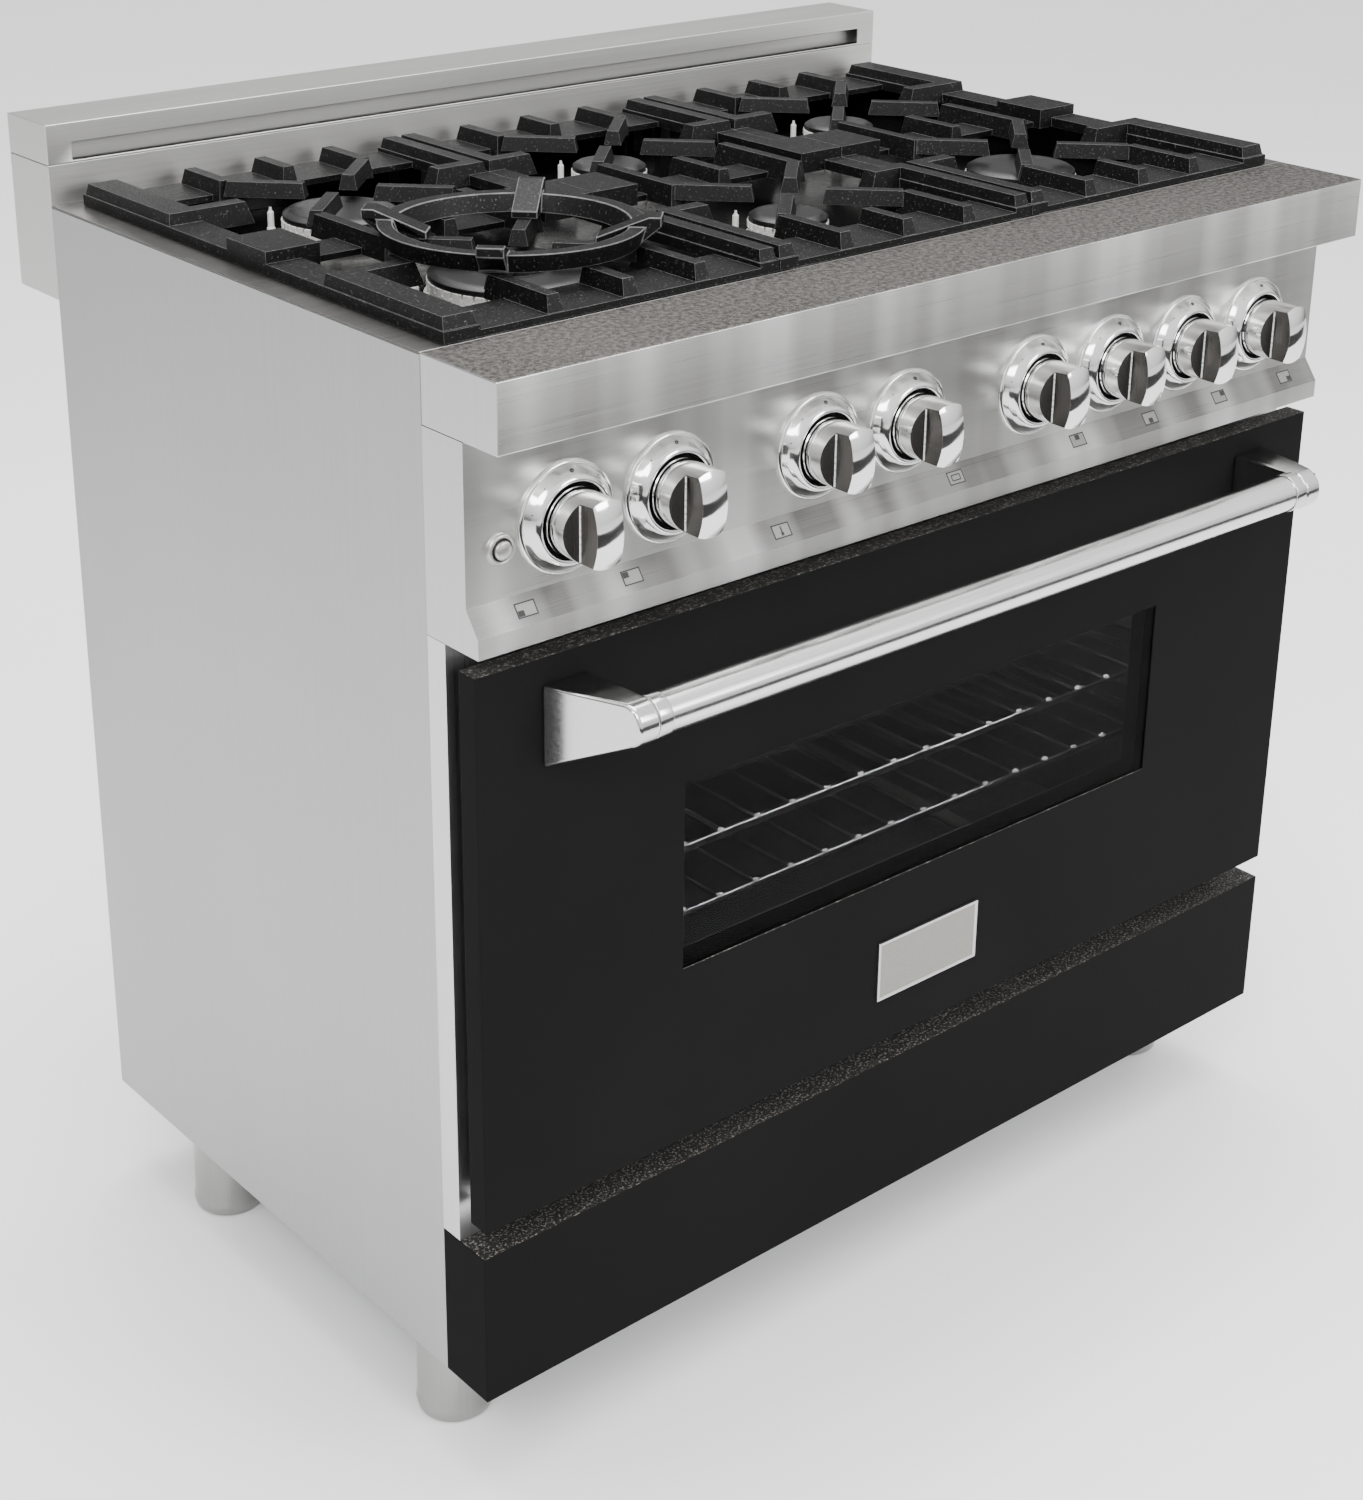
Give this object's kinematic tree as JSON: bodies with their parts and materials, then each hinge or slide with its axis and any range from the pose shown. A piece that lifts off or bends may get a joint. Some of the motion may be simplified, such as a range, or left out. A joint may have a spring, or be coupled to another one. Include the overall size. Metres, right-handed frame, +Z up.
{
  "type": "freestanding gas range",
  "caption": "Freestanding steel gas range with cast grates over sealed burners, a wok ring, metal knobs, and an oven with a drop-down glass door.",
  "frame": {"origin": "on the floor, under the middle of the whole object, with the handle and the exhaust box included", "axes": "+X to the right of a person facing the range, +Y towards the wall, +Z up"},
  "size_m": [0.912, 0.704, 0.964],
  "materials": {
    "stainless_side": "satin, fine grain",
    "stainless_front": "brushed along its length",
    "stainless_rear": "satin",
    "galvanised": "dull zinc",
    "black_panel": "satin black with a fine grain",
    "oven_enamel": "vitreous enamel with fine specks",
    "mineral_wool": "matte fibre",
    "tube_steel": "dull",
    "motor_steel": "dull",
    "lamp_glass": "moulded",
    "rack_chrome": "bright wire",
    "hob_enamel": "gloss enamel",
    "burner_metal": "machined",
    "cap_enamel": "matte enamel",
    "spark_ceramic": "glazed",
    "cast_iron": "matte, lightly worn at the edges",
    "bezel_chrome": "turned and polished",
    "knob_chrome": "polished",
    "spindle_brass": "machined",
    "button_satin": "satin",
    "screw_steel": "zinc plated",
    "pane": "dark tint",
    "seal": "matte",
    "hinge_steel": "dull",
    "handle_steel": "brushed along its length",
    "bracket_chrome": "polished",
    "plate_nickel": "satin nickel",
    "leg_steel": "turned"
  },
  "bodies": {
    "range": {"side_panel_left": "stainless_side", "side_panel_right": "stainless_side", "rear_panel": "galvanised", "base_pan": "galvanised", "front_frame": "stainless_front", "kick_panel": "black_panel", "oven_liner": "oven_enamel", "oven_insulation": "mineral_wool", "oven_burners": "tube_steel", "fan_motor": "motor_steel", "fan_cover": "oven_enamel", "oven_lamp": "lamp_glass", "rack_guides": "rack_chrome", "cooktop_surround": "stainless_front", "burner_tray": "hob_enamel", "burner_heads": "burner_metal", "burner_caps": "cap_enamel", "igniters": "spark_ceramic", "landing_ledge": "stainless_front", "control_panel": "stainless_front", "knob_bezels": "bezel_chrome", "valves_and_controls": "spindle_brass", "gas_manifold": "tube_steel", "backguard": "stainless_rear", "flue_box": "stainless_rear", "body_screws": "screw_steel"},
    "door": {"door_skin": "black_panel", "door_liner": "oven_enamel", "door_glass": "pane", "door_gasket": "seal", "door_hinges": "hinge_steel", "handle_bar": "handle_steel", "handle_brackets": "bracket_chrome", "name_plate": "plate_nickel"},
    "valve_stem_1": {"valve_stem_1": "spindle_brass"},
    "knob_1": {"knob_1": "knob_chrome"},
    "valve_stem_2": {"valve_stem_2": "spindle_brass"},
    "knob_2": {"knob_2": "knob_chrome"},
    "knob_3": {"knob_3": "knob_chrome"},
    "knob_4": {"knob_4": "knob_chrome"},
    "valve_stem_5": {"valve_stem_5": "spindle_brass"},
    "knob_5": {"knob_5": "knob_chrome"},
    "valve_stem_6": {"valve_stem_6": "spindle_brass"},
    "knob_6": {"knob_6": "knob_chrome"},
    "valve_stem_7": {"valve_stem_7": "spindle_brass"},
    "knob_7": {"knob_7": "knob_chrome"},
    "valve_stem_8": {"valve_stem_8": "spindle_brass"},
    "knob_8": {"knob_8": "knob_chrome"},
    "lamp_button": {"lamp_button": "button_satin"},
    "fan": {"fan_impeller": "motor_steel"},
    "rack_lower": {"rack_lower": "rack_chrome"},
    "rack_upper": {"rack_upper": "rack_chrome"},
    "grate_left": {"grate_left": "cast_iron"},
    "grate_centre": {"grate_centre": "cast_iron"},
    "grate_right": {"grate_right": "cast_iron"},
    "wok_ring": {"wok_ring": "cast_iron"},
    "leg_front_left": {"leg_front_left": "leg_steel"},
    "leg_front_right": {"leg_front_right": "leg_steel"},
    "leg_rear_left": {"leg_rear_left": "leg_steel"},
    "leg_rear_right": {"leg_rear_right": "leg_steel"}
  },
  "joints": [
    {"name": "door_hinge", "type": "hinge", "parent": "range", "child": "door", "pos_m": [0, -0.2555, 0.245], "axis": [1, 0, 0], "range_deg": [0, 90], "stiffness_Nm_per_rad": 12, "springref_deg": -17.19},
    {"name": "knob_1_turn", "type": "hinge", "parent": "range", "child": "valve_stem_1", "pos_m": [-0.372, -0.267, 0.779], "axis": [0, -1, 0], "range_deg": [0, 225]},
    {"name": "knob_1_push", "type": "slide", "parent": "valve_stem_1", "child": "knob_1", "axis": [0, 1, 0], "range_m": [0, 0.003], "stiffness_N_per_m": 600, "springref_m": -0.003},
    {"name": "knob_2_turn", "type": "hinge", "parent": "range", "child": "valve_stem_2", "pos_m": [-0.28, -0.267, 0.779], "axis": [0, -1, 0], "range_deg": [0, 225]},
    {"name": "knob_2_push", "type": "slide", "parent": "valve_stem_2", "child": "knob_2", "axis": [0, 1, 0], "range_m": [0, 0.003], "stiffness_N_per_m": 600, "springref_m": -0.003},
    {"name": "knob_3_turn", "type": "hinge", "parent": "range", "child": "knob_3", "pos_m": [-0.138, -0.267, 0.779], "axis": [0, 1, 0], "range_deg": [0, 280]},
    {"name": "knob_4_turn", "type": "hinge", "parent": "range", "child": "knob_4", "pos_m": [-0.046, -0.267, 0.779], "axis": [0, 1, 0], "range_deg": [0, 270]},
    {"name": "knob_5_turn", "type": "hinge", "parent": "range", "child": "valve_stem_5", "pos_m": [0.096, -0.267, 0.779], "axis": [0, -1, 0], "range_deg": [0, 225]},
    {"name": "knob_5_push", "type": "slide", "parent": "valve_stem_5", "child": "knob_5", "axis": [0, 1, 0], "range_m": [0, 0.003], "stiffness_N_per_m": 600, "springref_m": -0.003},
    {"name": "knob_6_turn", "type": "hinge", "parent": "range", "child": "valve_stem_6", "pos_m": [0.188, -0.267, 0.779], "axis": [0, -1, 0], "range_deg": [0, 225]},
    {"name": "knob_6_push", "type": "slide", "parent": "valve_stem_6", "child": "knob_6", "axis": [0, 1, 0], "range_m": [0, 0.003], "stiffness_N_per_m": 600, "springref_m": -0.003},
    {"name": "knob_7_turn", "type": "hinge", "parent": "range", "child": "valve_stem_7", "pos_m": [0.28, -0.267, 0.779], "axis": [0, -1, 0], "range_deg": [0, 225]},
    {"name": "knob_7_push", "type": "slide", "parent": "valve_stem_7", "child": "knob_7", "axis": [0, 1, 0], "range_m": [0, 0.003], "stiffness_N_per_m": 600, "springref_m": -0.003},
    {"name": "knob_8_turn", "type": "hinge", "parent": "range", "child": "valve_stem_8", "pos_m": [0.372, -0.267, 0.779], "axis": [0, -1, 0], "range_deg": [0, 225]},
    {"name": "knob_8_push", "type": "slide", "parent": "valve_stem_8", "child": "knob_8", "axis": [0, 1, 0], "range_m": [0, 0.003], "stiffness_N_per_m": 600, "springref_m": -0.003},
    {"name": "lamp_push", "type": "slide", "parent": "range", "child": "lamp_button", "axis": [0, 1, 0], "range_m": [0, 0.002], "stiffness_N_per_m": 800, "springref_m": -0.002},
    {"name": "fan_spin", "type": "hinge", "parent": "range", "child": "fan", "pos_m": [0, 0.1625, 0.457], "axis": [0, 1, 0], "continuous": true},
    {"name": "rack_lower_slide", "type": "slide", "parent": "range", "child": "rack_lower", "axis": [0, -1, 0], "range_m": [0, 0.014]},
    {"name": "rack_upper_slide", "type": "slide", "parent": "range", "child": "rack_upper", "axis": [0, -1, 0], "range_m": [0, 0.014]},
    {"name": "grate_left_lift", "type": "slide", "parent": "range", "child": "grate_left", "axis": [0, 0, 1], "range_m": [0, 0.1]},
    {"name": "grate_centre_lift", "type": "slide", "parent": "range", "child": "grate_centre", "axis": [0, 0, 1], "range_m": [0, 0.1]},
    {"name": "grate_right_lift", "type": "slide", "parent": "range", "child": "grate_right", "axis": [0, 0, 1], "range_m": [0, 0.1]},
    {"name": "wok_ring_lift", "type": "slide", "parent": "grate_left", "child": "wok_ring", "axis": [0, 0, 1], "range_m": [0, 0.08]},
    {"name": "leg_front_left_height", "type": "slide", "parent": "range", "child": "leg_front_left", "axis": [0, 0, -1], "range_m": [0, 0.035]},
    {"name": "leg_front_right_height", "type": "slide", "parent": "range", "child": "leg_front_right", "axis": [0, 0, -1], "range_m": [0, 0.035]},
    {"name": "leg_rear_left_height", "type": "slide", "parent": "range", "child": "leg_rear_left", "axis": [0, 0, -1], "range_m": [0, 0.035]},
    {"name": "leg_rear_right_height", "type": "slide", "parent": "range", "child": "leg_rear_right", "axis": [0, 0, -1], "range_m": [0, 0.035]}
  ]
}
